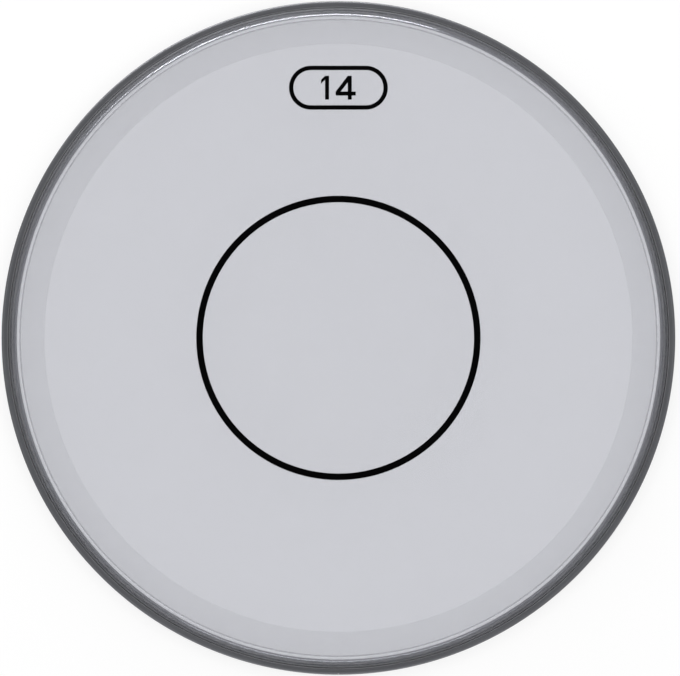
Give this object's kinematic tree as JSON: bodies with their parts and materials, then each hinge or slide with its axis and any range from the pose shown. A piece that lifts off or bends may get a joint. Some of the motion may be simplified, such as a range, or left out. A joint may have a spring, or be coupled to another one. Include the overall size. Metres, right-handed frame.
{
  "type": "drum head",
  "caption": "Round drum head: tinted clear film with a formed collar cast into a metal hoop, a damping ring under its edge and a round centre patch with a printed outline.",
  "frame": {"origin": "centre of the hoop's base, where the head lies flat on a surface", "axes": "+Z along the axis of the head, up towards the playing surface; +Y towards the printed size mark"},
  "size_m": [0.3714, 0.3714, 0.0193],
  "materials": {
    "hoop_metal": "dark satin, with fine lines along the rolled strip",
    "resin": "cast, dull",
    "tinted_film": "clear smoke-tinted polyester film, glossy",
    "clear_film": "clear polyester film, glossy",
    "adhesive": "clear",
    "ink": "screen print, satin"
  },
  "bodies": {
    "root": {"hoop_channel": "hoop_metal", "hoop_splice": "hoop_metal", "resin_fill": "resin", "batter_ply": "tinted_film", "backing_ply": "tinted_film", "damping_ring": "clear_film", "patch_adhesive": "adhesive", "centre_patch": "clear_film", "patch_outline_print": "ink", "size_mark_print": "ink"}
  },
  "joints": []
}
